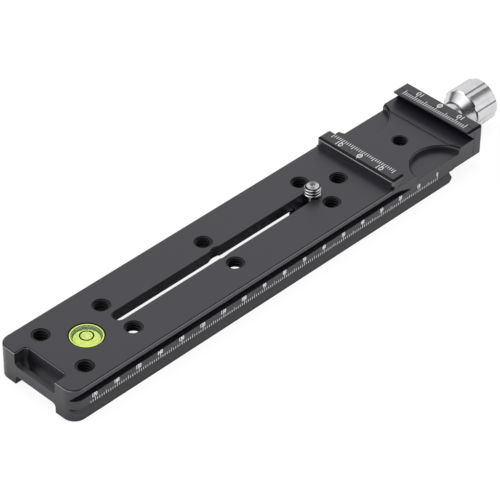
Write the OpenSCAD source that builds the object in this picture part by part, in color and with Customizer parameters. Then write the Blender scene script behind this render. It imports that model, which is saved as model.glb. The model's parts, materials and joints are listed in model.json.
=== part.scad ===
// Nodal slide rail for panorama photography: a long camera rail with a dovetail on
// each long side, above and below, and a screw-knob clamp machined in one with it.
// Millimetres. X runs along the rail towards the knob, Y across it, Z up.
// The origin is on the underside, on the axis of the tapped hole in the clamp bed.

/* [Rail] */
// Width over both dovetail lips
rail_w = 38; // [34:0.5:44]
// Height of the rail, underside to camera face
rail_h = 13.5; // [13.2:0.05:15]
// Distance from the middle of the clamp bed to the level end of the rail
level_end = 179.8; // [179:0.2:240]
// Plan radius of the two corners at the level end
corner_r = 4.8; // [3:0.1:8]
// Chamfer along the upper edges
edge_chamfer = 0.45; // [0.2:0.05:0.8]

/* [Dovetail grooves] */
// Depth of each groove from the side face
groove_d = 2.6; // [2:0.1:2.8]
// Height of the upper lip below the camera face
upper_lip = 1.83; // [1.4:0.01:2]
// Floor of the upper groove above the underside
upper_floor = 8.75; // [8.4:0.05:8.8]
// Height of the lower lip
lower_lip = 2.17; // [1.6:0.01:2.4]
// Roof of the lower groove above the underside
lower_roof = 5.1; // [5.05:0.05:5.35]
// Radius of the cutter that leaves the upper groove
cutter_r = 20; // [14:1:26]
// Where that cutter stops, short of the middle of the clamp bed
cutter_stop = 24.4; // [24:0.2:32]

/* [Slot and channel] */
// Width of the slot for the camera screw
slot_w = 5.2; // [5:0.1:5.6]
// Centre of the slot's far end, from the middle of the clamp bed
slot_far = 141.4; // [120:0.2:143]
// Centre of the slot's clamp end, where the camera screw is parked
slot_park = 46.4; // [44:0.2:60]
// Width of the relief round the parked screw
park_w = 7; // [6.6:0.1:7.6]
// Depth of that relief
park_d = 1.2; // [0.6:0.1:2]
// Thickness of the web over the channel
web_t = 4.7; // [4:0.1:5.2]
// Width of the channel in the underside, and radius of its corners
channel_w = 24; // [24:0.2:26]
channel_corner = 6; // [5:0.5:8]
// Ends of the channel, from the middle of the clamp bed
channel_far = 151.2; // [150.8:0.1:152]
channel_near = 28.8; // [28.6:0.1:28.9]

/* [Tapped holes] */
// Outside diameter of the quarter-inch camera thread
camera_thread = 6.35; // [6.3:0.05:6.4]
// Countersink round each tapped hole
hole_chamfer = 0.23; // [0.1:0.01:0.4]
// Larger countersink of the holes that come out in the channel
channel_sink = 0.7; // [0.4:0.05:0.75]
// Pair beside the level: distance from the level end, and spacing across
level_pair_inset = 12.7; // [12:0.1:13.2]
level_pair_w = 22; // [21:0.5:23]
// Far pair, middle pair and near pair over the channel
far_pair_x = 142.05; // [138:0.05:143]
middle_pair_x = 93.45; // [80:0.05:100]
near_pair_x = 44.8; // [42:0.1:50]
// Spacing across of those three pairs
pair_w = 16; // [15:0.5:17]
// Single hole behind the fixed jaw
single_x = 32.85; // [32.5:0.05:33]

/* [Strap end] */
// Width of the strap opening and of the reliefs above and below its bar
strap_w = 20; // [16:0.5:21]
// Length of the opening along the rail, bar and slot together
strap_l = 5.4; // [5:0.1:6]
// Thickness of the strap bar along the rail
bar_t = 2.15; // [1.8:0.05:2.6]
// Top and bottom of the strap bar
bar_top = 8.2; // [7.4:0.1:8.8]
bar_bottom = 3.75; // [3.3:0.05:4.4]
// Corner radius of the opening
strap_r = 1.5; // [1:0.1:2]

/* [Bubble level] */
// Centre of the level, from the level end
level_inset = 23.6; // [23.4:0.1:24]
// Diameter and depth of its pocket
pocket_d = 12.9; // [12.8:0.1:13.4]
pocket_depth = 4.1; // [3.9:0.1:4.2]
// Outside diameter of the cup
cup_d = 11.9; // [11.6:0.1:12.1]
// Wall and floor of the cup
cup_t = 0.4; // [0.3:0.05:0.5]
cup_floor = 0.6; // [0.5:0.1:0.7]
// Side wall and floor of the clear vial, and its cover
vial_t = 0.6; // [0.5:0.05:0.8]
vial_floor = 0.5; // [0.4:0.1:0.6]
vial_cover = 0.8; // [0.6:0.1:0.9]
// How far the level sits below the camera face
level_sink = 0.2; // [0.1:0.05:0.4]
// Bubble across and deep
bubble_d = 4.2; // [3.4:0.1:5]
bubble_h = 0.8; // [0.6:0.1:1]

/* [Clamp bed] */
// Seam between rail and moving jaw, and free ends of the block below
seam_x = 19.9; // [19.4:0.1:22]
// Underside of the overhanging clamp block
block_under = 5.42; // [5.4:0.01:5.6]
// End of the rail's lower dovetail under the block
tail_x = 8.3; // [7.6:0.1:9.4]
// Fillet over that end, and chamfer under it
tail_fillet = 1.6; // [1:0.1:2.2]
tail_chamfer = 1.2; // [0.6:0.1:1.6]
// Inner edges of the two raised lands, from the middle
land_x = 10.8; // [10:0.1:11.4]
// Height of the lands over the bed
land_h = 0.4; // [0.2:0.1:0.8]
// Round recess at each side: cutter radius, reach towards the middle, floor height
recess_r = 11.8; // [11.4:0.1:12]
recess_reach = 9.4; // [9:0.1:10]
recess_floor = 10.95; // [10.8:0.05:11.8]
// Chamfer round each recess
recess_chamfer = 0.5; // [0.3:0.1:0.8]

/* [Jaws] */
// Height of both jaws above the camera face
jaw_rise = 4.1; // [3.6:0.1:4.6]
// Lip edge of the fixed jaw, from the middle
fixed_lip = 18.6; // [18:0.1:19]
// Outer face of the fixed jaw, from the middle
fixed_back = 24.5; // [24:0.1:26]
// Straight height of each lip above its 45 degree flank
lip_t = 0.6; // [0.4:0.05:0.9]
// Thickness of the moving jaw's plate
plate_t = 4.2; // [3.8:0.05:5]
// Chamfer along the fixed jaw's outer edge
jaw_chamfer = 1; // [0.6:0.05:1.2]
// Radius that rounds both ends of the jaws' tops
end_round = 1.5; // [1:0.1:2]
// Plan radius of the fixed jaw's outer corners and of the moving jaw's lip corners
fixed_r = 1.5; // [1:0.1:2.4]
// Smaller chamfer along the moving jaw's back edge
back_chamfer = 0.2; // [0.1:0.05:0.6]
// Plan radius of the moving jaw's outer corners
jaw_r = 0.7; // [0.5:0.1:2]
// Fillet at the foot of the fixed jaw
foot_fillet = 0.5; // [0.3:0.1:0.8]

/* [Guide pins and springs] */
// Distance of each guide pin's axis from the side face
pin_inset = 6.5; // [6:0.1:8]
// Guide pin diameter and length
pin_d = 2.5; // [2.3:0.1:2.7]
pin_l = 20; // [19:0.1:22]
// How deep each pin is pressed into the moving jaw
pin_seat = 2.8; // [2.4:0.1:3]
// Spring wire, mean diameter and length when the clamp is closed
spring_wire = 0.4; // [0.35:0.01:0.45]
spring_d = 3.45; // [3.4:0.01:3.5]
spring_l = 7; // [6.8:0.1:7.6]
// Turns of each spring
spring_turns = 7; // [5:1:7]

/* [Knob and clamp screw] */
// Height of the screw axis above the underside
axis_z = 9; // [8.95:0.05:9.3]
// Clamp screw diameter and how far it reaches past the seam
screw_d = 5; // [4.8:0.1:5.2]
screw_reach = 12.5; // [10:0.5:13]
// How far the screw sits in the knob
screw_grip = 12; // [10:0.5:12.5]
// Knob diameter and grip length
knob_d = 17.2; // [16.5:0.1:17.3]
knob_l = 11.6; // [9:0.1:14]
// Scallops round the knob: count, cutter radius, depth, and angle of the first one
scallops = 8; // [6:1:9]
scallop_r = 2.3; // [2:0.1:3]
scallop_d = 0.6; // [0.4:0.05:0.9]
scallop_turn = 15; // [0:1:45]
// Cone between grip and neck: length and rim radius lost
cone_l = 3.4; // [2.6:0.1:4]
cone_rim = 0.7; // [0.4:0.1:1]
// Collar between knob and jaw: diameter, length, and the step turned into its end
collar_d = 9.6; // [9:0.1:10]
collar_l = 5.75; // [5:0.05:7]
collar_step = 0.5; // [0.3:0.1:0.7]
// Thrust washer: diameter and thickness
thrust_d = 8.8; // [8.4:0.1:9.4]
thrust_t = 1; // [0.8:0.1:1.4]
// Dish in the knob's outer face: diameter and depth
dish_d = 12; // [9:0.5:13]
dish_depth = 0.6; // [0.4:0.1:1]
// Grub screw in the knob
grub_d = 3; // [2.5:0.1:3.2]

/* [Camera screw and D-ring] */
// How far the thread stands above the camera face
screw_stand = 3.85; // [3.4:0.05:5]
// Neck that runs in the slot
shank_d = 4.7; // [4.4:0.1:4.8]
// Head diameter and thickness
head_d = 16.4; // [14:0.2:17]
head_t = 2.1; // [1.8:0.1:2.2]
// Washer under the web: diameter and thickness
washer_d = 14; // [12:0.5:16]
washer_t = 0.5; // [0.4:0.1:0.6]
// Boss that carries the ring: diameter and height
boss_d = 7.6; // [7:0.1:8]
boss_h = 3.2; // [3:0.1:3.4]
// Ring wire, half width between its arms' centres, bend radius at the hinge
ring_wire = 2; // [1.8:0.1:2.1]
ring_half = 6.4; // [6:0.1:6.5]
ring_bend = 1.2; // [1.1:0.1:1.4]

/* [Hidden] */
$fn = 64;

// Overrun of every cut
over = 1;
// Running clearance on the radius of a shaft, the gap round a seated piece, and the room
// round each spring and past the end of each pin
running = 0.05;
seat_gap = 0.02;
bore_room = 0.2;

half_w = rail_w / 2;
web_under = rail_h - web_t;
bed_z = rail_h - land_h;
thread_r = camera_thread / 2;
upper_lip_z = rail_h - upper_lip;
level_x = level_end - level_inset;
level_pair_x = level_end - level_pair_inset;
recess_y = recess_reach + recess_r;
jaw_back = seam_x + plate_t;
jaw_top = rail_h + jaw_rise;
flank_h = jaw_rise - lip_t;
flank_top = rail_h + flank_h;
moving_lip = seam_x - flank_h;
fixed_root = fixed_lip + flank_h;
pin_y = half_w - pin_inset;
pin_bore_r = pin_d / 2 + running;
spring_bore_r = (spring_d + spring_wire) / 2 + bore_room;
pin_start = seam_x + pin_seat - pin_l;
pin_bore_l = pin_l - pin_seat + bore_room;
washer_top = web_under;
head_top = washer_top - washer_t;
head_under = head_top - head_t;
ring_z = head_under - boss_h / 2;
knob_start = jaw_back + thrust_t;
cone_start = knob_start + collar_l;
grip_start = cone_start + cone_l;
knob_end = grip_start + knob_l;
screw_end = cone_start + screw_grip;
grub_x = grip_start + knob_l / 2;
pocket_z = rail_h - pocket_depth;
level_top = rail_h - level_sink;
vial_r = cup_d / 2 - cup_t - seat_gap;
liquid_r = vial_r - vial_t - seat_gap;
vial_z = pocket_z + cup_floor;
liquid_z = vial_z + vial_floor;
liquid_top = level_top - vial_cover;

// A bar whose cross-section lies in the Y-Z plane, from x = a to x = b
module along_x(a, b) {
    translate([a, 0, 0]) rotate([90, 0, 90]) linear_extrude(height = b - a) children();
}

// A bar whose cross-section lies in the X-Z plane, centred on y = 0
module across_y(w) {
    translate([0, w / 2, 0]) rotate([90, 0, 0]) linear_extrude(height = w) children();
}

// A round bar along X on the axis (y, z)
module rod_x(a, b, r, y, z) {
    translate([a, y, z]) rotate([0, 90, 0]) cylinder(h = b - a, r = r);
}

// A plan rectangle from x = a to x = b with all corners rounded
module rounded_plan(a, b, w, r) {
    translate([a + r, -w / 2]) square([b - a - 2 * r, w]);
    translate([a, -w / 2 + r]) square([b - a, w - 2 * r]);
    for (x = [a + r, b - r], y = [-w / 2 + r, w / 2 - r]) translate([x, y]) circle(r = r);
}

// The rail's cross-section before the grooves are cut: a plain block with a chamfered top
module rail_section() {
    polygon([[-half_w, 0], [half_w, 0], [half_w, rail_h - edge_chamfer],
        [half_w - edge_chamfer, rail_h], [-half_w + edge_chamfer, rail_h],
        [-half_w, rail_h - edge_chamfer]]);
}

// Level end: a straight bar between two turned corners, with the chamfer carried round
module level_end_block() {
    start = -level_end;
    inner = -level_end + corner_r;
    corner_y = half_w - corner_r;
    across_y(2 * corner_y) polygon([[start, 0], [inner, 0], [inner, rail_h],
        [start + edge_chamfer, rail_h], [start, rail_h - edge_chamfer]]);
    for (side = [-1, 1]) translate([inner, side * corner_y, 0]) rotate_extrude()
        polygon([[0, 0], [corner_r, 0], [corner_r, rail_h - edge_chamfer],
            [corner_r - edge_chamfer, rail_h], [0, rail_h]]);
}

// Clamp block: solid down to the underside as far as the tail, overhanging beyond it
module clamp_block() {
    across_y(rail_w) {
        difference() {
            translate([-fixed_back, 0]) square([fixed_back + seam_x, rail_h]);
            translate([tail_x, -over]) square([seam_x - tail_x + over, block_under + over]);
            translate([tail_x, 0]) rotate(45)
                square([2 * tail_chamfer, sqrt(2) * tail_chamfer], center = true);
        }
        difference() {
            translate([tail_x, block_under - tail_fillet]) square(tail_fillet);
            translate([tail_x + tail_fillet, block_under - tail_fillet]) circle(r = tail_fillet);
        }
    }
}

// Cross-section that rounds the top of both ends of a jaw
module jaw_ends() {
    inner_w = rail_w - 2 * end_round;
    translate([-half_w, 0]) square([rail_w, jaw_top - end_round]);
    translate([-inner_w / 2, 0]) square([inner_w, jaw_top]);
    for (side = [-1, 1])
        translate([side * inner_w / 2, jaw_top - end_round]) circle(r = end_round);
}

// Fixed jaw: lip and 45 degree flank, rounded outer corners, and a fillet at its foot
module fixed_jaw() {
    intersection() {
        across_y(rail_w) polygon([[-fixed_back, bed_z], [-fixed_back, jaw_top - jaw_chamfer],
            [-fixed_back + jaw_chamfer, jaw_top], [-fixed_lip, jaw_top],
            [-fixed_lip, flank_top], [-fixed_root, rail_h], [-fixed_root, bed_z]]);
        along_x(-fixed_back - over, -fixed_lip + over) jaw_ends();
        linear_extrude(height = jaw_top + over) rounded_plan(-fixed_back, 0, rail_w, fixed_r);
    }
    across_y(rail_w - 2 * fixed_r) difference() {
        translate([-fixed_back - foot_fillet, bed_z]) square([2 * foot_fillet, land_h + foot_fillet]);
        translate([-fixed_back - foot_fillet, rail_h + foot_fillet]) circle(r = foot_fillet);
    }
}

// One pair of dovetail grooves, cut along a side face; the upper one ends in the
// sweep of its round cutter, the lower one runs out at both ends
module side_grooves() {
    inner_y = half_w - groove_d;
    far_x = -level_end - over;
    cutter_y = inner_y + cutter_r;
    along_x(far_x, -cutter_stop) polygon([[inner_y, upper_floor], [half_w + over, upper_floor],
        [half_w + over, upper_lip_z], [half_w, upper_lip_z], [inner_y, upper_lip_z - groove_d]]);
    translate([-cutter_stop, cutter_y, 0]) rotate_extrude($fn = 96)
        polygon([[0, upper_floor], [cutter_r, upper_floor], [cutter_r, upper_lip_z - groove_d],
            [cutter_r - groove_d, upper_lip_z], [0, upper_lip_z]]);
    along_x(far_x, tail_x + over) polygon([[inner_y, lower_roof], [half_w + over, lower_roof],
        [half_w + over, lower_lip], [half_w, lower_lip], [inner_y, lower_lip + groove_d]]);
}

// A tapped hole's drilling with its countersink, from the face at z = top downwards
module tapped_hole(x, y, top, depth, sink) {
    translate([x, y, top - depth - over]) cylinder(h = depth + 2 * over, r = thread_r);
    translate([x, y, top - sink]) cylinder(h = 2 * sink, r1 = thread_r, r2 = thread_r + 2 * sink);
}

// Countersink of a hole where it comes out in the channel
module under_sink(x, y) {
    translate([x, y, web_under - running])
        cylinder(h = channel_sink + running, r1 = thread_r + channel_sink + running, r2 = thread_r);
}

// All holes through the camera face
module camera_holes() {
    for (side = [-1, 1]) {
        tapped_hole(-level_pair_x, side * level_pair_w / 2, rail_h, rail_h, hole_chamfer);
        for (x = [far_pair_x, middle_pair_x, near_pair_x]) {
            tapped_hole(-x, side * pair_w / 2, rail_h, web_t, hole_chamfer);
            under_sink(-x, side * pair_w / 2);
        }
    }
    tapped_hole(-single_x, 0, rail_h, web_t, hole_chamfer);
    under_sink(-single_x, 0);
    tapped_hole(0, 0, bed_z, bed_z, running);
}

// Slot for the camera screw, its tapped entry, its parking relief, and the channel below
module slot_and_channel() {
    translate([-slot_far, -slot_w / 2, web_under - over])
        cube([slot_far - slot_park, slot_w, web_t + 2 * over]);
    for (x = [slot_far, slot_park])
        translate([-x, 0, web_under - over]) cylinder(h = web_t + 2 * over, d = slot_w);
    tapped_hole(-middle_pair_x, 0, rail_h, web_t, hole_chamfer);
    under_sink(-middle_pair_x, 0);
    translate([-slot_park, 0, rail_h - park_d]) cylinder(h = park_d + over, d = park_w);
    channel_l = channel_far - channel_near;
    corner_y = channel_w / 2 - channel_corner;
    translate([-channel_far, -corner_y, -over]) cube([channel_l, 2 * corner_y, web_under + over]);
    translate([-channel_far + channel_corner, -channel_w / 2, -over])
        cube([channel_l - 2 * channel_corner, channel_w, web_under + over]);
    for (x = [channel_far - channel_corner, channel_near + channel_corner], y = [-corner_y, corner_y])
        translate([-x, y, -over]) cylinder(h = web_under + over, r = channel_corner);
}

// Opening for a strap at the level end, which leaves a low bar across it
module strap_opening() {
    back = -level_end + strap_l;
    plan_x = -level_end - strap_l;
    intersection() {
        translate([0, 0, -over]) linear_extrude(height = rail_h + 2 * over)
            rounded_plan(plan_x, back, strap_w, strap_r);
        union() {
            translate([-level_end + bar_t, -half_w, -over])
                cube([strap_l, rail_w, rail_h + 2 * over]);
            along_x(plan_x, back + over) {
                strap_relief(bar_top, rail_h + strap_r + over);
                strap_relief(-strap_r - over, bar_bottom);
            }
        }
    }
    translate([back, 0, rail_h]) rotate([0, 45, 0])
        cube([edge_chamfer, strap_w - 2 * strap_r, edge_chamfer], center = true);
    for (side = [-1, 1]) {
        translate([-level_end, side * strap_w / 2, rail_h]) rotate([45, 0, 0])
            cube([2 * (strap_l - strap_r), edge_chamfer, edge_chamfer], center = true);
        translate([back - strap_r, side * (strap_w / 2 - strap_r), rail_h - edge_chamfer / sqrt(2)])
            cylinder(h = edge_chamfer * sqrt(2), r1 = strap_r, r2 = strap_r + edge_chamfer * sqrt(2));
    }
}

// Cross-section of a relief in the Y-Z plane with rounded corners
module strap_relief(low, high) {
    translate([-strap_w / 2, low + strap_r]) square([strap_w, high - low - 2 * strap_r]);
    translate([-strap_w / 2 + strap_r, low]) square([strap_w - 2 * strap_r, high - low]);
    for (y = [-strap_w / 2 + strap_r, strap_w / 2 - strap_r], z = [low + strap_r, high - strap_r])
        translate([y, z]) circle(r = strap_r);
}

// Lowered bed between the lands, and the round recess at each side
module bed_cuts() {
    translate([-land_x, -half_w - over, bed_z]) cube([2 * land_x, rail_w + 2 * over, land_h + over]);
    for (side = [-1, 1]) translate([0, side * recess_y, 0]) {
        translate([0, 0, recess_floor]) cylinder(h = rail_h, r = recess_r, $fn = 96);
        translate([0, 0, bed_z - recess_chamfer])
            cylinder(h = 2 * recess_chamfer, r1 = recess_r, r2 = recess_r + 2 * recess_chamfer, $fn = 96);
    }
}

// Bores in the end of the clamp block for the clamp screw, guide pins and springs
module clamp_bores() {
    rod_x(seam_x - screw_reach - over, seam_x + over, screw_d / 2 + running, 0, axis_z);
    for (side = [-1, 1]) {
        rod_x(seam_x - pin_bore_l, seam_x + over, pin_bore_r, side * pin_y, axis_z);
        rod_x(seam_x - spring_l, seam_x + over, spring_bore_r, side * pin_y, axis_z);
    }
}

module rail_body() {
    color([0.28, 0.28, 0.3]) difference() {
        union() {
            along_x(-level_end + corner_r, -fixed_back) rail_section();
            level_end_block();
            clamp_block();
            fixed_jaw();
        }
        side_grooves();
        mirror([0, 1, 0]) side_grooves();
        camera_holes();
        slot_and_channel();
        strap_opening();
        bed_cuts();
        clamp_bores();
        translate([-level_x, 0, pocket_z]) cylinder(h = pocket_depth + over, d = pocket_d);
    }
}

// Moving jaw: plate, 45 degree flank and lip, with rounded outer corners
module moving_jaw() {
    color([0.28, 0.28, 0.3]) difference() {
        intersection() {
            across_y(rail_w) polygon([[seam_x, block_under], [jaw_back, block_under],
                [jaw_back, jaw_top - back_chamfer], [jaw_back - back_chamfer, jaw_top],
                [moving_lip, jaw_top], [moving_lip, flank_top], [seam_x, rail_h]]);
            linear_extrude(height = jaw_top + over) intersection() {
                rounded_plan(moving_lip - jaw_r - over, jaw_back, rail_w, jaw_r);
                rounded_plan(moving_lip, jaw_back + fixed_r + over, rail_w, fixed_r);
            }
            along_x(0, jaw_back + over) jaw_ends();
        }
        rod_x(seam_x - over, jaw_back + over, screw_d / 2 + running, 0, axis_z);
        for (side = [-1, 1])
            rod_x(seam_x - over, seam_x + pin_seat, pin_d / 2, side * pin_y, axis_z);
    }
}

// Guide pin pressed into the moving jaw, with a chamfered free end
module guide_pin(side) {
    tip = pin_d / 10;
    color([0.7, 0.7, 0.72]) {
        rod_x(pin_start + tip, pin_start + pin_l, pin_d / 2, side * pin_y, axis_z);
        translate([pin_start, side * pin_y, axis_z]) rotate([0, 90, 0])
            cylinder(h = tip, r1 = pin_d / 2 - tip, r2 = pin_d / 2);
    }
}

// Centre line of a jaw spring: a straight end on each seat and a helix between them
spring_steps = 8;
spring_rings = spring_turns * spring_steps;
spring_run = spring_l - 2 * spring_wire - 2 * seat_gap;
function spring_point(i) = let (a = 360 * i / spring_steps)
    [spring_wire + spring_run * i / spring_rings, cos(a) * spring_d / 2, sin(a) * spring_d / 2];
spring_path = concat([[0, spring_d / 2, 0]], [for (i = [0:spring_rings]) spring_point(i)],
    [[2 * spring_wire + spring_run, spring_d / 2, 0]]);

// One section of the tube at point i, square to the path there
spring_sides = 6;
function unit(v) = v / norm(v);
function spring_ring(i) = let (
    last = len(spring_path) - 1,
    along = unit(spring_path[min(i + 1, last)] - spring_path[max(i - 1, 0)]),
    out = unit([0, spring_path[i][1], spring_path[i][2]] - along * (along * [0, spring_path[i][1], spring_path[i][2]])),
    third = cross(along, out))
    [for (k = [0:spring_sides - 1]) let (a = 360 * k / spring_sides)
        spring_path[i] + (out * cos(a) + third * sin(a)) * spring_wire / 2];

spring_points = [for (i = [0:len(spring_path) - 1]) each spring_ring(i)];
spring_faces = let (s = spring_sides, n = len(spring_path)) concat(
    [[for (k = [0:s - 1]) k]], [[for (k = [s - 1:-1:0]) (n - 1) * s + k]],
    [for (i = [0:n - 2], k = [0:s - 1]) [i * s + k, (i + 1) * s + k, i * s + (k + 1) % s]],
    [for (i = [0:n - 2], k = [0:s - 1])
        [(i + 1) * s + k, (i + 1) * s + (k + 1) % s, i * s + (k + 1) % s]]);

// Least gap between one turn and the next, measured on the centre line's points
spring_gap = min([for (i = [0:spring_rings - spring_steps + 1], j = [i + spring_steps - 2:min(i + spring_steps + 2, spring_rings)])
    norm(spring_point(i) - spring_point(j)) - spring_wire]);
echo(spring_gap = spring_gap);

module jaw_spring(side) {
    color([0.75, 0.75, 0.78]) translate([seam_x - spring_l + seat_gap, side * pin_y, axis_z])
        polyhedron(points = spring_points, faces = spring_faces);
}

// Clamp screw: plain where it turns in the block, jaw and knob
module clamp_screw() {
    start = seam_x - screw_reach;
    tip = screw_d / 10;
    color([0.7, 0.7, 0.72]) {
        rod_x(start + tip, screw_end, screw_d / 2, 0, axis_z);
        translate([start, 0, axis_z]) rotate([0, 90, 0])
            cylinder(h = tip, r1 = screw_d / 2 - tip, r2 = screw_d / 2);
    }
}

// Turned thrust washer between the moving jaw and the knob
module thrust_washer() {
    color([0.8, 0.8, 0.78]) difference() {
        rod_x(jaw_back, knob_start, thrust_d / 2, 0, axis_z);
        rod_x(jaw_back - over, knob_start + over, screw_d / 2 + running, 0, axis_z);
    }
}

// Collar on the clamp screw, stepped down where it meets the knob
module knob_collar() {
    step_x = cone_start - collar_step;
    color([0.8, 0.8, 0.82]) difference() {
        union() {
            rod_x(knob_start, step_x, collar_d / 2, 0, axis_z);
            rod_x(knob_start, cone_start, collar_d / 2 - collar_step, 0, axis_z);
        }
        rod_x(knob_start - over, cone_start + over, screw_d / 2 + running, 0, axis_z);
    }
}

// Knob: cone and scalloped grip turned in one piece, with a dish in the outer face
module knob() {
    grip_r = knob_d / 2;
    total = cone_l + knob_l;
    color([0.82, 0.82, 0.84]) translate([cone_start, 0, axis_z]) rotate([0, 90, 0]) difference() {
        rotate_extrude($fn = 96) polygon([[0, 0], [collar_d / 2 + collar_step, 0],
            [grip_r - cone_rim, cone_l], [grip_r, cone_l + cone_rim / 2], [grip_r, total - cone_rim],
            [grip_r - cone_rim, total], [dish_d / 2, total],
            [dish_d / 2 - dish_depth, total - dish_depth], [0, total - dish_depth]]);
        for (i = [0:scallops - 1]) rotate([0, 0, 360 * i / scallops + scallop_turn])
            translate([grip_r - scallop_d + scallop_r, 0, -over])
                cylinder(h = total + 2 * over, r = scallop_r, $fn = 32);
        translate([0, 0, -over]) cylinder(h = screw_end - cone_start + over, d = screw_d);
        translate([0, 0, grub_x - cone_start]) rotate([0, 90, 0])
            cylinder(h = knob_d, d = grub_d, $fn = 32);
    }
}

// Grub screw that locks the knob to the clamp screw, with a hexagon socket
module knob_grub_screw() {
    outer = knob_d / 2 - scallop_d - grub_d / 4;
    color([0.2, 0.2, 0.22]) translate([grub_x, 0, axis_z]) rotate([0, 180, 0]) difference() {
        translate([0, 0, screw_d / 2]) cylinder(h = outer - screw_d / 2, d = grub_d, $fn = 32);
        translate([0, 0, outer - grub_d / 2]) cylinder(h = grub_d, d = grub_d / 2, $fn = 6);
    }
}

// Bubble level: a dark ring round a coloured cup, which holds a clear vial with its cover,
// the spirit and the air bubble
module level_ring() {
    color([0.06, 0.06, 0.07]) translate([-level_x, 0, pocket_z]) difference() {
        cylinder(h = level_top - pocket_z - seat_gap, r = pocket_d / 2 - seat_gap);
        translate([0, 0, -over]) cylinder(h = pocket_depth + 2 * over, r = cup_d / 2 + seat_gap);
    }
}

module level_cup() {
    color([0.78, 0.9, 0.3]) translate([-level_x, 0, pocket_z]) difference() {
        cylinder(h = level_top - pocket_z, d = cup_d);
        translate([0, 0, cup_floor]) cylinder(h = pocket_depth, r = vial_r + seat_gap);
    }
}

module level_vial() {
    color([0.9, 0.95, 0.9, 0.4]) translate([-level_x, 0, vial_z]) difference() {
        cylinder(h = liquid_top - vial_z, r = vial_r);
        translate([0, 0, vial_floor]) cylinder(h = pocket_depth, r = liquid_r + seat_gap);
    }
}

module level_cover() {
    color([0.95, 1, 0.95, 0.4]) translate([-level_x, 0, liquid_top])
        cylinder(h = vial_cover, r = vial_r);
}

// The bubble is a flat-topped dome held against the vial's cover
module bubble_shape(grow) {
    dome_r = (bubble_d * bubble_d / 4 + bubble_h * bubble_h) / (2 * bubble_h);
    translate([-level_x, 0, 0]) intersection() {
        translate([0, 0, liquid_top - bubble_h + dome_r]) sphere(r = dome_r + grow, $fn = 64);
        translate([0, 0, liquid_top - bubble_h - grow]) cylinder(h = bubble_h + 2 * grow, d = 2 * bubble_d);
    }
}

module level_liquid() {
    color([0.6, 0.85, 0.2]) difference() {
        translate([-level_x, 0, liquid_z]) cylinder(h = liquid_top - liquid_z, r = liquid_r);
        bubble_shape(seat_gap);
    }
}

module level_bubble() {
    color([0.9, 1, 0.8]) intersection() {
        bubble_shape(0);
        translate([-level_x, 0, liquid_z]) cylinder(h = liquid_top - liquid_z, r = liquid_r);
    }
}

// Camera screw: thread, neck in the slot, round head, and the boss that holds the ring
module camera_screw() {
    tip = screw_stand / 8;
    top = rail_h + screw_stand;
    color([0.8, 0.8, 0.8]) translate([-slot_park, 0, 0]) difference() {
        union() {
            translate([0, 0, rail_h + running]) cylinder(h = screw_stand - tip - running, r = thread_r);
            translate([0, 0, top - tip]) cylinder(h = tip, r1 = thread_r, r2 = thread_r - tip);
            translate([0, 0, head_under]) cylinder(h = top - tip - head_under, d = shank_d);
            translate([0, 0, head_under]) cylinder(h = head_t, d = head_d);
            translate([0, 0, head_under - boss_h]) cylinder(h = boss_h + head_t / 2, d = boss_d);
        }
        translate([0, boss_d, ring_z]) rotate([90, 0, 0])
            cylinder(h = 2 * boss_d, r = ring_wire / 2 + running);
    }
}

module screw_washer() {
    color([0.75, 0.75, 0.76]) translate([-slot_park, 0, washer_top - washer_t]) difference() {
        cylinder(h = washer_t, d = washer_d);
        translate([0, 0, -over]) cylinder(h = washer_t + 2 * over, r = shank_d / 2 + running);
    }
}

// D-ring, folded flat under the head: two hinge ends, two bends, two arms and the bow
module d_ring() {
    wire_r = ring_wire / 2;
    hinge_in = boss_d / 5;
    color([0.8, 0.8, 0.8]) translate([-slot_park, 0, ring_z]) {
        for (side = [-1, 1]) {
            translate([0, side * hinge_in, 0]) rotate([-side * 90, 0, 0])
                cylinder(h = ring_half - ring_bend - hinge_in, r = wire_r, $fn = 32);
            translate([-ring_bend, side * (ring_half - ring_bend), 0]) rotate([0, 0, side > 0 ? 0 : -90])
                rotate_extrude(angle = 90, $fn = 32) translate([ring_bend, 0]) circle(r = wire_r, $fn = 32);
        }
        translate([-ring_bend, 0, 0]) rotate([0, 0, 90])
            rotate_extrude(angle = 180, $fn = 64) translate([ring_half, 0]) circle(r = wire_r, $fn = 32);
    }
}

rail_body();
moving_jaw();
guide_pin(1);  // guide_pin_left
guide_pin(-1);  // guide_pin_right
jaw_spring(1);  // jaw_spring_left
jaw_spring(-1);  // jaw_spring_right
clamp_screw();
knob_collar();
knob();
knob_grub_screw();
thrust_washer();
level_ring();
level_cup();
level_vial();
level_cover();
level_liquid();
level_bubble();
camera_screw();
screw_washer();
d_ring();
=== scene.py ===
"""Looks of the nodal slide rail: threads, scales, finishes, light and camera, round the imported
part."""

import json
import math

import bmesh
import bpy
from mathutils import Matrix, Vector


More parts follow.
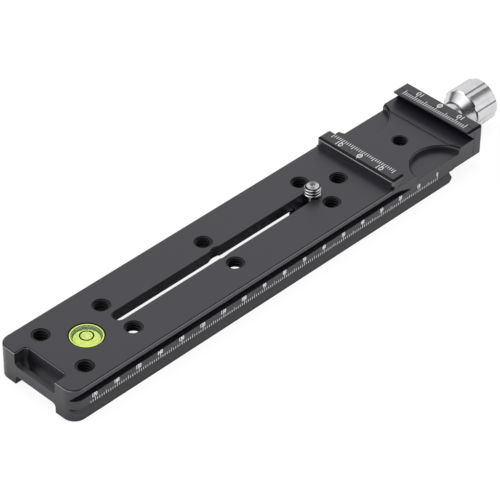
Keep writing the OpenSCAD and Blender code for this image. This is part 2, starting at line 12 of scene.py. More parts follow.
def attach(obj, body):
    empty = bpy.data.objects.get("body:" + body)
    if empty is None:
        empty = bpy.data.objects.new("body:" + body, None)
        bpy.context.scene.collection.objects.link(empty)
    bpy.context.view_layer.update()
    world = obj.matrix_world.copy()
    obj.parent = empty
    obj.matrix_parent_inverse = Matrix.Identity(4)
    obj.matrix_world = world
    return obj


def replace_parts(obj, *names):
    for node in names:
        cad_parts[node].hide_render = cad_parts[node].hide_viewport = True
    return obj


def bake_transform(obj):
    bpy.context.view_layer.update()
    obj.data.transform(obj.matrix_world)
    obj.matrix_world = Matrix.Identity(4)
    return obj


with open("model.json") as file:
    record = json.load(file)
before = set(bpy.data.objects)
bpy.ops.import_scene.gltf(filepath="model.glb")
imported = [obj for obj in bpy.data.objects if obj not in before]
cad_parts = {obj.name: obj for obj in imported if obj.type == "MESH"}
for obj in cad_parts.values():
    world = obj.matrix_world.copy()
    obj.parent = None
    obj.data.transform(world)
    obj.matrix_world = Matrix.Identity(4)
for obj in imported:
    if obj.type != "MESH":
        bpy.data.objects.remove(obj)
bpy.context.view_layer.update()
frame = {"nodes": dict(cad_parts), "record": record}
nodes = frame["nodes"]

TURN = 2 * math.pi
MM = 0.001

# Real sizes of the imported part, in millimetres, in its own frame
SIDE_Y, FACE_Z, BED_Z, JAW_TOP = -19.0, 13.5, 13.1, 17.6
WEB_UNDER, CHANNEL_SINK, HOLE_SINK = 8.8, 0.7, 0.23
SLOT_HALF, SCREW_X, SEAM_X = 2.6, -46.4, 19.9
LEVEL_X, LEVEL_TOP, LIQUID_TOP, VIAL_FLOOR = -156.2, 13.3, 12.5, 10.5
AXIS_Z = 9.0

# Tapped holes: the pairs, and those on the middle line, of which one opens the slot
END_PAIR_X, END_PAIR_Y = -167.1, 11
PAIRS_X, PAIRS_Y = (-142.05, -93.45, -44.8), 8
SINGLE_X, BED_HOLE_X, SLOT_HOLE_X = -32.85, 0, -93.45

# Quarter-inch camera thread, 20 turns to the inch: pitch and radii
CAMERA_PITCH = 1.27
TAP_ROOT, TAP_CREST, LINING = 3.165, 2.6, 3.2
STUD_CORE, STUD_CREST = 2.49, 3.175

# M5 clamp thread: pitch and radii
CLAMP_PITCH, CLAMP_CORE, CLAMP_R = 0.8, 2.0, 2.5

# Threads are drawn with eight rows a turn: two on the crest, two in the root, two on each flank
THREAD_ROWS = 8
FLAT_SHARE = 0.25


# Colour and nodes

def srgb(hex_value):
    """Linear RGBA of an sRGB hex colour."""
    parts = [int(hex_value[i:i + 2], 16) / 255 for i in (0, 2, 4)]
    return [c / 12.92 if c <= 0.04045 else ((c + 0.055) / 1.055) ** 2.4 for c in parts] + [1]


def add(tree, kind, values=(), links=(), **settings):
    """Adds a node. Settings are its properties, values fill sockets, and links feed sockets."""
    node = tree.nodes.new("ShaderNode" + kind)
    for name, value in settings.items():
        setattr(node, name, value)
    for socket, value in dict(values).items():
        node.inputs[socket].default_value = value
    for socket, source in dict(links).items():
        tree.links.new(source, node.inputs[socket])
    return node


def new_material(name):
    """An empty material with its node tree and output."""
    made = bpy.data.materials.new(name)
    made.use_nodes = True
    made.node_tree.nodes.clear()
    return made, made.node_tree, add(made.node_tree, "OutputMaterial")


def surface(name, values, links=None):
    """A material with one main shader; links(tree) gives the sockets that a pattern feeds."""
    made, tree, out = new_material(name)
    shader = add(tree, "BsdfPrincipled", values, links(tree) if links else {})
    tree.links.new(shader.outputs[0], out.inputs["Surface"])
    return made


def arithmetic(tree, operation, a, b):
    """A maths node on two sockets or numbers."""
    node = add(tree, "Math", operation=operation)
    for i, value in enumerate((a, b)):
        if isinstance(value, (int, float)):
            node.inputs[i].default_value = value
        else:
            tree.links.new(value, node.inputs[i])
    return node.outputs[0]


def chained(tree, operation, values):
    """One operation carried through a row of sockets or numbers."""
    first, *others = values
    for value in others:
        first = arithmetic(tree, operation, first, value)
    return first


def product(tree, *masks):
    """A mask that holds where all of these hold."""
    return chained(tree, "MULTIPLY", masks)


def largest(tree, *masks):
    """A mask that holds where any of these holds."""
    return chained(tree, "MAXIMUM", masks)


def absolute(tree, value):
    """A value without its sign."""
    return arithmetic(tree, "ABSOLUTE", value, 0.0)


def above(tree, value, limit):
    """A mask of where a length is over a limit in millimetres."""
    return arithmetic(tree, "GREATER_THAN", value, limit * MM)


def below(tree, value, limit):
    """A mask of where a length is under a limit in millimetres."""
    return arithmetic(tree, "LESS_THAN", value, limit * MM)


def ranged(tree, value, first, last, low=0.0, high=1.0, **settings):
    """A value that goes from low to high as another goes from first to last."""
    return add(tree, "MapRange",
               {"From Min": first, "From Max": last, "To Min": low, "To Max": high},
               {"Value": value}, **settings).outputs[0]


def position(tree):
    """Where a point lies in the part's own frame, and its X, Y and Z apart."""
    place = add(tree, "TexCoord").outputs["Object"]
    return place, add(tree, "SeparateXYZ", {}, {"Vector": place}).outputs


def distance(tree, place, centre):
    """How far a place lies from a centre in millimetres."""
    return add(tree, "VectorMath", {1: [c * MM for c in centre]}, {0: place},
               operation="DISTANCE").outputs["Value"]


def grain(tree, size, detail=2.0, stretch=(1, 1, 1)):
    """Noise in the part's own frame, with features of a size in millimetres."""
    mapped = add(tree, "Mapping", {"Scale": stretch}, {"Vector": position(tree)[0]})
    return add(tree, "TexNoise", {"Scale": 1 / (size * MM), "Detail": detail},
               {"Vector": mapped.outputs[0]}).outputs["Fac"]


def between(tree, noise, low, high):
    """A value that goes from low to high as the middle of a noise rises."""
    return ranged(tree, noise, 0.3, 0.7, low, high)


def mix_colours(tree, mask, first, second):
    """The first colour where a mask is 0, the second where it is 1. Each is a hex value or a
    socket."""
    mix = add(tree, "Mix", {}, {0: mask}, data_type="RGBA")
    for socket, colour in ((6, first), (7, second)):
        if isinstance(colour, str):
            mix.inputs[socket].default_value = srgb(colour)
        else:
            tree.links.new(colour, mix.inputs[socket])
    return mix.outputs[2]


def blend_colours(tree, noise, low, high):
    """A colour that goes from low to high as the middle of a noise rises."""
    return mix_colours(tree, between(tree, noise, 0, 1), low, high)


def relief(tree, height, depth, edge=0.0):
    """A normal from a height pattern of that depth in millimetres, over edges eased by edge."""
    links = {"Height": height}
    if edge:
        links["Normal"] = add(tree, "Bevel", {"Radius": edge * MM}, samples=4).outputs[0]
    return add(tree, "Bump", {"Strength": 0.6, "Distance": depth * MM}, links).outputs[0]


# Where painted highlight and painted shade on the black anodising change: the lowest point of the
# upper chamfers, the middle of those round the camera face, the part of the rail that they go
# round, and the foot of the jaws' own
CHAMFERS_Z, CHAMFER_MIDDLE_Z = 12.95, 13.3
LEVEL_END_X, OUTLINE_Y, OUTLINE_X = -172.5, 16.5, -24
JAW_FOOT_LOW, JAW_FOOT_HIGH = 15, JAW_TOP - 0.75
# Half width and fading edge of the painted shade line along the seam between rail and moving jaw
SEAM_SHADE_HALF, SEAM_SHADE_EDGE = 0.1, 0.16


# Finishes

def anodised_black(tree):
    """Bead-blasted grain 0.3 mm across, drawn coarser than the real 0.1 mm so that it shows, with
    slightly uneven dye. The lower half of the chamfers round the camera face, and the foot of those
    on the jaws, get a smoother band with a paler, metallic colour that paints a highlight line. The
    other chamfers are painted near-black with little sheen, a painted dark reflection, and a
    painted shade line marks the seam between rail and moving jaw."""
    blast = grain(tree, 0.3)
    dye = grain(tree, 9.0)
    spot = position(tree)[1]
    way = add(tree, "SeparateXYZ", {}, {"Vector": add(tree, "TexCoord").outputs["Normal"]})
    facing = largest(tree, *(absolute(tree, part) for part in way.outputs))
    slanted = ranged(tree, facing, 0.9, 0.97, 1.0, 0.0)
    chamfer = product(tree, slanted, above(tree, spot["Z"], CHAMFERS_Z))
    along_side = product(tree, above(tree, absolute(tree, spot["Y"]), OUTLINE_Y),
                         below(tree, spot["X"], OUTLINE_X))
    outline = product(tree, largest(tree, below(tree, spot["X"], LEVEL_END_X), along_side),
                      below(tree, spot["Z"], CHAMFER_MIDDLE_Z))
    jaw_foot = product(tree, above(tree, spot["Z"], JAW_FOOT_LOW),
                       below(tree, spot["Z"], JAW_FOOT_HIGH))
    # Painted highlight: a paler, metallic, smoother band on the lower half of the chamfers round
    # the camera face and at the foot of the jaws' chamfers
    painted_highlight = product(tree, chamfer, largest(tree, outline, jaw_foot))
    # Painted shade: a dark line along the seam between rail and moving jaw
    from_seam = absolute(tree, arithmetic(tree, "SUBTRACT", spot["X"], SEAM_X * MM))
    seam_shade = ranged(tree, from_seam, SEAM_SHADE_HALF * MM, SEAM_SHADE_EDGE * MM, 1.0, 0.0)
    # Painted shade: the chamfers outside the highlight bands, and the seam, get near-black colour
    # and little sheen
    painted_shade = largest(tree, seam_shade,
                   product(tree, 0.85, arithmetic(tree, "SUBTRACT", chamfer, painted_highlight)))
    # The dye with the painted shade's near-black laid over it
    dye_and_shade = mix_colours(tree, painted_shade, blend_colours(tree, dye, "1c1b24", "212029"), "030303")
    return {
        # The painted highlight's pale grey is laid over the dye
        "Base Color": mix_colours(tree, painted_highlight, dye_and_shade, "646466"),
        "Metallic": product(tree, painted_highlight, 0.65),
        "Roughness": arithmetic(tree, "SUBTRACT", between(tree, dye, 0.33, 0.39),
                                product(tree, painted_highlight, 0.14)),
        # Sheen cut where the shade is painted
        "Specular IOR Level": arithmetic(tree, "SUBTRACT", 0.5, product(tree, painted_shade, 0.48)),
        "Normal": relief(tree, blast, 0.004, 0.2),
    }


def thread_black(tree):
    """The same anodising in tapped holes: darker and duller than on the open faces."""
    film = grain(tree, 0.5)
    return {
        "Base Color": blend_colours(tree, film, "121216", "18181c"),
        "Roughness": between(tree, film, 0.4, 0.5),
    }


def turned_silver(tree):
    """Turned aluminium: tool lines 0.25 mm apart round the knob's axis, under clear anodising."""
    lines = grain(tree, 0.25, 1.0, (1, 0.02, 0.02))
    haze = grain(tree, 4.0)
    return {
        "Base Color": blend_colours(tree, haze, "cdcdcf", "d8d8da"),
        "Roughness": between(tree, lines, 0.21, 0.27),
        "Normal": relief(tree, lines, 0.0003, 0.15),
    }


def turned_steel(tree):
    """Stainless steel as turned, with fine tool marks and a slightly grey film."""
    marks = grain(tree, 0.2)
    return {
        "Base Color": blend_colours(tree, grain(tree, 2.0), "bdbdbf", "cccccd"),
        "Roughness": between(tree, marks, 0.12, 0.2),
        "Normal": relief(tree, marks, 0.001, 0.04),
    }


def threaded_steel(tree):
    """The camera screw's steel, with painted shade in the roots of its thread, which lie between
    the dimple in its end and the crests."""
    dimple_r, root_r, crest_r = 2.3, 2.75, 3.0
    sockets = turned_steel(tree)
    spot = position(tree)[1]
    level = add(tree, "CombineXYZ", {}, {"X": spot["X"], "Y": spot["Y"]}).outputs[0]
    radius = distance(tree, level, (SCREW_X, 0, 0))
    root_shade = ranged(tree, radius, root_r * MM, crest_r * MM, 0.95, 0.0)
    thread = product(tree, above(tree, radius, dimple_r), above(tree, spot["Z"], FACE_Z))
    # Painted shade: near-black in the roots of the thread
    sockets["Base Color"] = mix_colours(
        tree, product(tree, root_shade, thread), sockets["Base Color"], "141415")
    return sockets


def oxide_steel(tree):
    """Black oxide steel: dark, half matt, a little uneven."""
    film = grain(tree, 0.6)
    return {
        "Base Color": blend_colours(tree, film, "1b1b1d", "28282b"),
        "Roughness": between(tree, film, 0.32, 0.46),
    }


def soft_rubber(tree):
    """Moulded sealing rubber: matt, with a fine skin."""
    skin = grain(tree, 0.25)
    return {
        "Base Color": blend_colours(tree, skin, "060606", "0c0c0c"),
        "Roughness": between(tree, skin, 0.55, 0.7),
        "Normal": relief(tree, skin, 0.01),
    }


def moulded_lime(tree):
    """Injection-moulded lime plastic: satin gloss, faint flow marks in the colour."""
    flow = grain(tree, 3.0)
    return {
        "Base Color": blend_colours(tree, flow, "c6dd4c", "d6ec60"),
        "Roughness": between(tree, flow, 0.25, 0.38),
    }


def vial_plastic(tree):
    """The vial: a floor that takes the cup's lime, and a wall whose colour paints its shading, from
    a dark green painted shadow at its foot through a dark grey painted reflection to a pale painted
    highlight at its rim. The floor disc glows a little, a painted light that brightens it."""
    floor_r, floor_edge = 4.45, 4.6
    # Painted shade and highlight up the wall: dark green at the foot, dark grey, pale at the rim
    wall_shading_colours = ((0.0, "008452"), (0.27, "007a50"), (0.42, "142420"), (0.72, "2c332a"),
                    (1.0, "8f9c70"))
    place, spot = position(tree)
    wall = add(tree, "ValToRGB", {}, {
        "Fac": ranged(tree, spot["Z"], VIAL_FLOOR * MM, LIQUID_TOP * MM)})
    stops = wall.color_ramp.elements
    while len(stops) < len(wall_shading_colours):
        stops.new(1.0)
    for stop, (share, colour) in zip(stops, wall_shading_colours):
        stop.position = share
        stop.color = srgb(colour)
    glowing_disc = ranged(tree, distance(tree, place, (LEVEL_X, 0, VIAL_FLOOR)),
                  floor_r * MM, floor_edge * MM, 1.0, 0.0)
    colour = mix_colours(tree, glowing_disc, wall.outputs["Color"],
                         blend_colours(tree, grain(tree, 3.0), "e4f578", "eefb88"))
    return {
        "Base Color": colour,
        "Emission Color": colour,
        # Painted light: the floor disc glows, though it is no lamp
        "Emission Strength": product(tree, glowing_disc, 0.42),
        "Roughness": between(tree, grain(tree, 0.8), 0.3, 0.45),
    }


def cast_acrylic(tree):
    """Clear acrylic: given a polish, with faint haze."""
    return {"Roughness": between(tree, grain(tree, 1.5), 0.02, 0.06)}


def wetted_face(tree):
    """The cover's underside, wetted by spirit of nearly its own index, so hardly to be seen."""
    return {"Base Color": blend_colours(tree, grain(tree, 2.0), "e4f6b0", "ecfabc")}


def dyed_spirit(tree):
    """Green spirit in a thin layer: the dye settles a little unevenly."""
    return {"Base Color": blend_colours(tree, grain(tree, 4.0), "b2dc4c", "c2e85c")}


def trapped_air(tree):
    """Air bubble: paler than the spirit round it."""
    return {"Base Color": blend_colours(tree, grain(tree, 1.0), "f4fbe6", "fbfff2")}


def filled_white(tree):
    """White paint in laser-cut marks: matt and slightly uneven."""
    fill = grain(tree, 0.5)
    return {
        "Base Color": blend_colours(tree, fill, "e4e4e5", "f4f4f4"),
        "Roughness": between(tree, fill, 0.5, 0.7),
    }


def printed_black(tree):
    """Black printing ink on the level's cover."""
    return {"Roughness": between(tree, grain(tree, 0.4), 0.35, 0.5)}


# Index of anodising 1.6, of acrylic 1.49, of rubber and paint 1.5; acrylic and spirit that touch
# hardly bend light, so the faces between them are thin veils of 1.05
black_anodised = surface("anodised_aluminium_black", {"IOR": 1.6}, anodised_black)
black_threads = surface("anodised_aluminium_black_threads",
                        {"IOR": 1.6, "Specular IOR Level": 0.22}, thread_black)
silver_anodised = surface("anodised_aluminium_silver", {"Metallic": 1.0}, turned_silver)
stainless_steel = surface("stainless_steel_turned", {"Metallic": 1.0}, turned_steel)
threaded_stainless = surface("stainless_steel_threaded", {"Metallic": 1.0}, threaded_steel)
black_steel = surface("black_oxide_steel", {"Metallic": 0.6}, oxide_steel)
sealing_rubber = surface("sealing_rubber_black",
                         {"IOR": 1.5, "Specular IOR Level": 0.12}, soft_rubber)
lime_plastic = surface("moulded_plastic_lime", {"IOR": 1.49}, moulded_lime)
frosted_vial = surface("frosted_plastic_vial",
                       {"IOR": 1.49, "Specular IOR Level": 0.1}, vial_plastic)
clear_acrylic = surface("cast_acrylic_clear",
                        {"Base Color": srgb("f6fbf0"), "Transmission Weight": 1.0, "IOR": 1.49},
                        cast_acrylic)
wetted_acrylic = surface("cast_acrylic_wetted", {"Alpha": 0.04, "IOR": 1.05}, wetted_face)
green_spirit = surface("dyed_spirit_green", {"Alpha": 0.14, "IOR": 1.05}, dyed_spirit)
air_bubble = surface("trapped_air", {"Alpha": 0.05, "IOR": 1.05}, trapped_air)
white_fill = surface("engraving_paint_white", {"IOR": 1.5}, filled_white)
black_ink = surface("printing_ink_black",
                    {"Base Color": srgb("0a0c0a"), "IOR": 1.5, "Specular IOR Level": 0.05},
                    printed_black)


# Mesh helpers, all in millimetres

def link(made):
    """Puts an object in the scene."""
    bpy.context.scene.collection.objects.link(made)
    return made


def new_piece(name, bm, body, material, sharp=35):
    """Turns mesh code in millimetres into a piece that rides on a body."""
    bmesh.ops.remove_doubles(bm, verts=bm.verts, dist=1e-4)
    bmesh.ops.dissolve_degenerate(bm, dist=1e-5, edges=bm.edges)
    bmesh.ops.recalc_face_normals(bm, faces=bm.faces)
    bm.transform(Matrix.Scale(MM, 4))
    mesh = bpy.data.meshes.new(name)
    bm.to_mesh(mesh)
    bm.free()
    mesh.polygons.foreach_set("use_smooth", [True] * len(mesh.polygons))
    mesh.set_sharp_from_angle(angle=math.radians(sharp))
    mesh.materials.append(material)
    made = link(bpy.data.objects.new(name, mesh))
    if body:
        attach(made, body)
    return made


def ring(bm, radius, z, columns, at=(0, 0)):
    """A row of points round an axis along Z, the last on the first."""
    return [bm.verts.new((at[0] + radius * math.cos(TURN * i / columns),
                          at[1] + radius * math.sin(TURN * i / columns), z))
            for i in range(columns + 1)]


def skin(bm, rows):
    """Faces between rows of points."""
    for a, b in zip(rows, rows[1:]):
        for i in range(len(a) - 1):
            bm.faces.new((a[i], a[i + 1], b[i + 1], b[i]))


def turned(bm, profile, columns, at=(0, 0)):
    """A wall turned round an axis along Z from (radius, height) points."""
    skin(bm, [ring(bm, r, z, columns, at) for r, z in profile])


def thread_height(turns):
    """0 in the thread's root and 1 on its crest, at a number of turns from a crest's middle."""
    away = abs((turns + 0.5) % 1 - 0.5)
    flank = 0.5 - FLAT_SHARE
    return min(max((0.5 - FLAT_SHARE / 2 - away) / flank, 0), 1)


def thread_wall(bm, radius, pitch, low, high, columns, first=0, last=TURN, at=(0, 0)):
    """A wall whose rows climb with a right-handed thread; radius(turns, z, angle) shapes it.
    Returns its lower and upper edges."""
    rows = range(-THREAD_ROWS, math.ceil((high - low) / pitch * THREAD_ROWS) + 1)
    grid = []
    for i in range(columns + 1):
        angle = first + (last - first) * i / columns
        column = []
        for row in rows:
            climb = low + pitch * (row / THREAD_ROWS + angle / TURN)
            z = min(max(climb, low), high)
            r = radius((z - low) / pitch - angle / TURN, z, angle)
            column.append(bm.verts.new(
                (at[0] + r * math.cos(angle), at[1] + r * math.sin(angle), z)))
        grid.append(column)
    skin(bm, grid)
    return [column[0] for column in grid], [column[-1] for column in grid]


def tapped_lining(bm, x, y, low, high, first=0, last=TURN, open_half=0):
    """The thread of a tapped hole: a thin lining in the wall that carries the ridges. Where the
    slot passes through, open_half keeps the ridges out of it."""
    def bore(turns, z, angle):
        r = TAP_ROOT - thread_height(turns) * (TAP_ROOT - TAP_CREST)
        if open_half:
            r = max(r, open_half / abs(math.sin(angle)))
        return min(r, LINING)

    columns = 40 if last - first == TURN else 16
    inner, outer = (thread_wall(bm, wall, CAMERA_PITCH, low, high, columns, first, last, (x, y))
                    for wall in (bore, lambda *_: LINING))
    for a, b in zip(inner, outer):
        skin(bm, [a, b])


# Threads in the tapped holes
bm = bmesh.new()
thread_top = FACE_Z - HOLE_SINK
web_low = WEB_UNDER + CHANNEL_SINK
bed_top = BED_Z - 0.05
for side in (-1, 1):
    tapped_lining(bm, END_PAIR_X, END_PAIR_Y * side, 0, thread_top)
    for hole_x in PAIRS_X:
        tapped_lining(bm, hole_x, PAIRS_Y * side, web_low, thread_top)
tapped_lining(bm, SINGLE_X, 0, web_low, thread_top)
tapped_lining(bm, BED_HOLE_X, 0, 0, bed_top)
entry_angle = math.asin(SLOT_HALF / LINING)
for half_turn in (0, math.pi):
    tapped_lining(bm, SLOT_HOLE_X, 0, web_low, thread_top, half_turn + entry_angle,
                  half_turn + math.pi - entry_angle, SLOT_HALF)
new_piece("hole_threads", bm, "rail", black_threads)

# Camera screw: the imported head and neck, cut off and capped just over the camera face, with a
# threaded stud whose end has a dimple, given as radii and depths
STUD_TOP, STUD_CHAMFER, STUD_COLUMNS, CUT_Z = 17.35, 0.48, 48, FACE_Z + 0.02
DIMPLE = ((2.25, 0.0), (2.1, 0.05), (1.85, 0.2), (0.6, 0.28), (0.4, 0.55), (0.0, 0.6))


def stud_wall(turns, z, angle):
    """Thread with its last turn chamfered off."""
    r = STUD_CORE + thread_height(turns) * (STUD_CREST - STUD_CORE)
    return min(r, STUD_CREST - max(z - STUD_TOP + STUD_CHAMFER, 0))


bm = bmesh.new()
bm.from_mesh(nodes["camera_screw"].data)
bm.transform(Matrix.Scale(1 / MM, 4))
bmesh.ops.remove_doubles(bm, verts=bm.verts, dist=1e-3)
cut = bmesh.ops.bisect_plane(bm, geom=bm.verts[:] + bm.edges[:] + bm.faces[:],
                             plane_co=(0, 0, CUT_Z), plane_no=(0, 0, 1), clear_outer=True)
rim = [e for e in cut["geom_cut"] if isinstance(e, bmesh.types.BMEdge)]
bmesh.ops.holes_fill(bm, edges=rim, sides=0)
stud = bmesh.new()
foot, top = thread_wall(stud, stud_wall, CAMERA_PITCH, FACE_Z, STUD_TOP, STUD_COLUMNS)
skin(stud, [foot, ring(stud, 0, FACE_Z, STUD_COLUMNS)])
skin(stud, [top] + [ring(stud, r, STUD_TOP - depth, STUD_COLUMNS) for r, depth in DIMPLE])
bmesh.ops.translate(stud, vec=(SCREW_X, 0, 0), verts=stud.verts)
joined = bpy.data.meshes.new("stud")
stud.to_mesh(joined)
stud.free()
bm.from_mesh(joined)
bpy.data.meshes.remove(joined)
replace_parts(new_piece("camera_screw_threaded", bm, "camera_bolt", threaded_stainless),
            "camera_screw")

# Clamp screw: M5 thread as far as the collar, plain in the knob
CLAMP_LOW, THREAD_END, CLAMP_HIGH, CLAMP_COLUMNS = 7.4, 30.0, 42.85, 24


def clamp_wall(turns, z, angle):
    """M5 thread with a chamfered tip."""
    r = CLAMP_CORE + thread_height(turns) * (CLAMP_R - CLAMP_CORE)
    return min(r, CLAMP_CORE + z - CLAMP_LOW)


bm = bmesh.new()
foot, top = thread_wall(bm, clamp_wall, CLAMP_PITCH, CLAMP_LOW, THREAD_END, CLAMP_COLUMNS)
skin(bm, [foot, ring(bm, 0, CLAMP_LOW, CLAMP_COLUMNS)])
skin(bm, [top] + [ring(bm, r, z, CLAMP_COLUMNS) for r, z in
                  ((CLAMP_R, THREAD_END), (CLAMP_R, CLAMP_HIGH), (0, CLAMP_HIGH))])
along_x = Matrix(((0, 0, 1, 0), (1, 0, 0, 0), (0, 1, 0, AXIS_Z), (0, 0, 0, 1)))
bm.transform(along_x)
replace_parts(new_piece("clamp_screw_threaded", bm, "clamp_knob", stainless_steel),
            "clamp_screw")

# Jaw springs: closed end coils and a smooth helix between them
SPRING_LOW, SPRING_HIGH, SPRING_Y = 12.91, 19.89, 12.5
WIRE, COIL_R, COILS, END_COIL = 0.4, 1.725, 7, 0.8
COIL_STEPS, WIRE_SIDES = 24, 8


def spring_x(turns):
    """Place along the axis: end coils lie turn on turn, the middle coils are spaced."""
    run = SPRING_HIGH - SPRING_LOW - WIRE
    ends = END_COIL * WIRE
    middle = (run - 2 * ends) / (COILS - 2 * END_COIL)
    if turns < END_COIL:
        return turns * WIRE
    if turns > COILS - END_COIL:
        return run - (COILS - turns) * WIRE
    return ends + (turns - END_COIL) * middle


for name, side in (("jaw_spring_left", 1), ("jaw_spring_right", -1)):
    bm = bmesh.new()
    tube = []
    for i in range(COILS * COIL_STEPS + 1):
        turns = i / COIL_STEPS
        out = Vector((0, math.cos(TURN * turns), math.sin(TURN * turns)))
        middle = out * COIL_R + Vector(
            (SPRING_LOW + WIRE / 2 + spring_x(turns), SPRING_Y * side, AXIS_Z))
        angles = [TURN * k / WIRE_SIDES for k in range(WIRE_SIDES)]
        tube.append([bm.verts.new(
            middle + (out * math.cos(a) + Vector((math.sin(a), 0, 0))) * WIRE / 2) for a in angles])
    skin(bm, [row + row[:1] for row in tube])
    bm.faces.new(tube[0])
    bm.faces.new(tube[-1])
    spring = new_piece(name + "_coil", bm, None, stainless_steel)
    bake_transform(spring)
    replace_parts(spring, name)


# Engraved scales, drawn as paint that stands 0.015 mm proud of the face
PROUD, SUNK = 0.015, 0.05
TICK_HALF = 0.1


def block(bm, low, high):
    """A box between two corners."""
    made = bmesh.ops.create_cube(bm, size=1)["verts"]
    low, high = Vector(low), Vector(high)
    for v in made:
        v.co = Vector(a + (b - a) * (c + 0.5) for a, b, c in zip(low, high, v.co))


shapes = {}


def numeral(text, bold):
    """A number as a mesh one unit high and one thick, centred, its strokes thickened by bold."""
    if (text, bold) not in shapes:
        curve = bpy.data.curves.new("numeral", "FONT")
        curve.body = text
        curve.extrude = 0.5
        curve.offset = bold
        curve.resolution_u = 4
        holder = link(bpy.data.objects.new("numeral", curve))
        bpy.context.view_layer.update()
        seen = holder.evaluated_get(bpy.context.evaluated_depsgraph_get())
        mesh = bpy.data.meshes.new_from_object(seen)
        xs = [v.co.x for v in mesh.vertices]
        ys = [v.co.y for v in mesh.vertices]
        mesh.transform(Matrix.Translation(
            (-(min(xs) + max(xs)) / 2, -(min(ys) + max(ys)) / 2, 0)))
        tall = max(ys) - min(ys)
        mesh.transform(Matrix.Diagonal((1 / tall, 1 / tall, 1, 1)))
        bpy.data.objects.remove(holder)
        shapes[text, bold] = mesh
    return shapes[text, bold].copy()


def engrave(bm, text, centre, right, up, height, width, bold):
    """A number on a face, with its reading directions right and up."""
    right, up = Vector(right), Vector(up)
    out = right.cross(up)
    thick = PROUD + SUNK
    place = Matrix.Translation(Vector(centre) + out * (PROUD - SUNK) / 2) @ Matrix((
        right * height * width, up * height, out * thick)).transposed().to_4x4()
    mesh = numeral(text, bold)
    mesh.transform(place)
    bm.from_mesh(mesh)
    bpy.data.meshes.remove(mesh)


# Side scale: a mark each millimetre from 0 to 172, longer at 5 and 10, numbered every 10
TICK_FOOT, SIDE_LABEL_Z, LABEL_SHIFT = 5.12, 7.9, -0.1
bm = bmesh.new()
for mark in range(173):
    reach = 1.95 if mark % 10 == 0 else 1.5 if mark % 5 == 0 else 1.05
    block(bm, (-mark - TICK_HALF, SIDE_Y - PROUD, TICK_FOOT),
          (-mark + TICK_HALF, SIDE_Y + SUNK, TICK_FOOT + reach))
    if mark % 10 == 0:
        engrave(bm, str(mark), (LABEL_SHIFT - mark, SIDE_Y, SIDE_LABEL_Z),
                (1, 0, 0), (0, 0, 1), height=1.72, width=0.76, bold=0.04)
new_piece("side_scale", bm, "rail", white_fill)

# Jaw scales: 15 marks each way from the middle, whose mark runs on through the 0. The marks start
# at a foot by the throat and go a way along X
ZERO_MARK_END = 23.6
for name, body, foot, way, short, long, label_x in (
        ("fixed_jaw_scale", "rail", -18.75, -1, 1.55, 2.3, -21.85),
        ("moving_jaw_scale", "jaw", 17.6, 1, 1.9, 2.85, 21.95)):
    bm = bmesh.new()
    for mark in range(-15, 16):
        reach = ZERO_MARK_END - abs(foot) if mark == 0 else short if mark % 5 else long
        a, b = sorted((foot, foot + way * reach))
        block(bm, (a, mark - TICK_HALF, JAW_TOP - SUNK), (b, mark + TICK_HALF, JAW_TOP + PROUD))
    for mark, label_width in ((-10, 0.92), (0, 1.3), (10, 0.92)):
        engrave(bm, str(abs(mark)), (label_x, mark, JAW_TOP), (0, way, 0), (-way, 0, 0),
                height=2.4, width=label_width, bold=-0.012)
    new_piece(name, bm, body, white_fill)

# Level: cover and spirit as clean closed bodies. Each reaches a little into the solid below it,
# so that no two faces lie on one another, and the spirit has the hollow that the bubble fills.
# Light bends at the cover's top alone, as acrylic and spirit have nearly the same index.
COVER_R, SPIRIT_R, BUBBLE_R, BUBBLE_H = 5.53, 4.95, 2.12, 0.82
COVER_LOW, SPIRIT_LOW = LIQUID_TOP - 0.05, VIAL_FLOOR - 0.03
LEVEL_COLUMNS, DOME_STEPS = 64, 12
bm = bmesh.new()
turned(bm, [(0, COVER_LOW), (COVER_R, COVER_LOW), (COVER_R, LEVEL_TOP - 0.12),
            (COVER_R - 0.03, LEVEL_TOP - 0.04), (COVER_R - 0.12, LEVEL_TOP), (0, LEVEL_TOP)],
       LEVEL_COLUMNS, (LEVEL_X, 0))
cover = new_piece("level_cover_clear", bm, "rail", clear_acrylic)
cover.data.materials.append(wetted_acrylic)
for face in cover.data.polygons:
    if face.normal.z < -0.5:
        face.material_index = 1
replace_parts(cover, "level_cover")

bm = bmesh.new()
dome_r = (BUBBLE_R ** 2 + BUBBLE_H ** 2) / (2 * BUBBLE_H)
dome_angle = math.asin(BUBBLE_R / dome_r)
dome = [(dome_r * math.sin(a), LIQUID_TOP - BUBBLE_H + dome_r * (1 - math.cos(a)))
        for a in (dome_angle * i / DOME_STEPS for i in range(DOME_STEPS, -1, -1))]
turned(bm, [(0, SPIRIT_LOW), (SPIRIT_R, SPIRIT_LOW), (SPIRIT_R, LIQUID_TOP)] + dome,
       LEVEL_COLUMNS, (LEVEL_X, 0))
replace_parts(new_piece("level_spirit", bm, "rail", green_spirit), "level_liquid")

# A black circle printed on the cover
CIRCLE_IN, CIRCLE_OUT, INK_HALF = 2.12, 2.64, 0.01
bm = bmesh.new()
ink_low, ink_top = LEVEL_TOP - INK_HALF, LEVEL_TOP + INK_HALF
turned(bm, [(CIRCLE_IN, ink_low), (CIRCLE_OUT, ink_low), (CIRCLE_OUT, ink_top),
            (CIRCLE_IN, ink_top), (CIRCLE_IN, ink_low)], LEVEL_COLUMNS, (LEVEL_X, 0))
new_piece("level_circle", bm, "rail", black_ink)

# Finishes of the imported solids
finishes = {
    "black_anodised": black_anodised, "silver_anodised": silver_anodised,
    "steel": stainless_steel, "black_steel": black_steel, "black_rubber": sealing_rubber,
    "lime_plastic": lime_plastic, "clear_acrylic": clear_acrylic, "green_spirit": green_spirit,
    "air_bubble": air_bubble,
}
for part in frame["record"]["subparts"]:
    materials = nodes[part["node"]].data.materials
    materials.clear()
    materials.append(finishes[part["material_slot"]])
nodes["level_vial"].data.materials[0] = frosted_vial

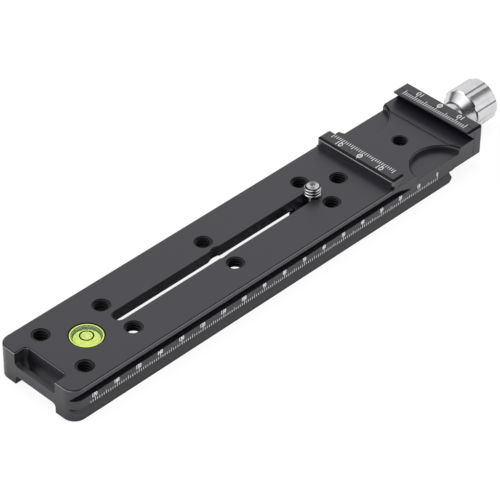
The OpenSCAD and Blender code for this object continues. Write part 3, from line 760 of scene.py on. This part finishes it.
# Floor: white to the camera and through glass, still shaded by the object; plain white paint to
# all other light, so that it darkens under the rail
FLOOR_HALF, FLOOR_Z = 3000, -0.05
floor_white, tree, out = new_material("studio_floor_white")
path = add(tree, "LightPath").outputs
seen = largest(tree, path["Is Camera Ray"], path["Is Transmission Ray"])
plain = add(tree, "BsdfDiffuse", {"Color": srgb("f0f0f0")}).outputs[0]
glow = add(tree, "Emission", {"Color": (1, 1, 1, 1), "Strength": 0.9}).outputs[0]
faint = add(tree, "BsdfDiffuse", {"Color": (0.11, 0.11, 0.11, 1)}).outputs[0]
white = add(tree, "AddShader", {}, {0: glow, 1: faint}).outputs[0]
either = add(tree, "MixShader", {}, {0: seen, 1: plain, 2: white}).outputs[0]
tree.links.new(either, out.inputs["Surface"])
bm = bmesh.new()
bm.faces.new([bm.verts.new((x * FLOOR_HALF, y * FLOOR_HALF, FLOOR_Z))
              for x, y in ((-1, -1), (1, -1), (1, 1), (-1, 1))])
new_piece("studio_floor", bm, None, floor_white)

# World: white to the camera and through glass, even and a little less bright on matt surfaces. In
# reflections it is a pale room with a dark ceiling that comes lower at the level end. Screens are
# added where the photo's reflections show them: each has a direction, the cosines at which it
# ends and is full, and a brightness.
ROOM, CEILING, MATT = 0.88, 0.12, 0.85
CEILING_START, CEILING_FULL, CEILING_SLOPE = 0.5, 0.66, 0.1
SCREENS = (
    ((-0.05, 1.0, 0.03), 0.86, 0.95, 0.14),
    ((-0.63, -0.76, 0.15), 0.82, 0.94, 0.04),
    ((0.55, -0.8, 0.25), 0.82, 0.93, 1.15),
    ((-0.68, 0.54, 0.48), 0.88, 0.95, 2.2),
    ((-0.56, 0.1, 0.82), 0.85, 0.95, 1.5),
    ((0.554, 0.541, 0.633), 0.75, 0.9, 1.0),
)
world = bpy.data.worlds.new("studio_white")
bpy.context.scene.world = world
world.use_nodes = True
tree = world.node_tree
tree.nodes.clear()
out = add(tree, "OutputWorld")
path = add(tree, "LightPath").outputs
direction = add(tree, "TexCoord").outputs["Generated"]
sky = add(tree, "SeparateXYZ", {}, {"Vector": direction}).outputs
height = arithmetic(tree, "SUBTRACT", sky["Z"], product(tree, sky["X"], CEILING_SLOPE))
mirrored = ranged(tree, height, CEILING_START, CEILING_FULL, ROOM, CEILING,
                  interpolation_type="SMOOTHSTEP")
for way, first, last, brightness in SCREENS:
    towards = add(tree, "VectorMath", {1: Vector(way).normalized()}, {0: direction},
                  operation="DOT_PRODUCT").outputs["Value"]
    patch = ranged(tree, towards, first, last, interpolation_type="SMOOTHSTEP")
    mirrored = add(tree, "Mix", {3: brightness}, {0: patch, 2: mirrored}).outputs[0]
glossy = path["Is Glossy Ray"]
matt = product(tree, arithmetic(tree, "SUBTRACT", 1.0, glossy), MATT)
strength = largest(tree, path["Is Camera Ray"], product(tree, glossy, mirrored),
                   path["Is Transmission Ray"], matt)
background = add(tree, "Background", {"Color": (1, 1, 1, 1)}, {"Strength": strength})
tree.links.new(background.outputs[0], out.inputs["Surface"])


def soft_box(name, way, distance, size, power):
    """A square lamp that faces the object from a direction. The screens of the world stand for it
    in reflections."""
    middle = Vector((-0.07, 0, 0.01))
    way = Vector(way).normalized()
    lamp = bpy.data.lights.new(name, "AREA")
    lamp.shape = "SQUARE"
    lamp.size = size
    lamp.energy = power
    holder = link(bpy.data.objects.new(name, lamp))
    holder.location = middle + way * distance
    holder.rotation_euler = way.to_track_quat("Z", "Y").to_euler()
    holder.visible_glossy = False


soft_box("soft_box_left", (-0.79, 0.55, 0.3), distance=1.2, size=0.4, power=3.0)
soft_box("soft_box_above", (0.1, 0.15, 1.0), distance=1.3, size=0.9, power=7.0)

# Camera, fitted to the photograph's 500 by 500 frame
lens = bpy.data.cameras.new("camera")
lens.lens = 195.94
lens.sensor_width = 36
lens.clip_start = 0.01
camera = link(bpy.data.objects.new("camera", lens))
camera.location = (-0.611827, -0.520804, 0.615126)
camera.rotation_euler = [math.radians(a) for a in (50.7421, -0.5923, -45.2178)]
bpy.context.scene.camera = camera
bpy.context.scene.view_settings.view_transform = "Standard"

bpy.context.view_layer.update()
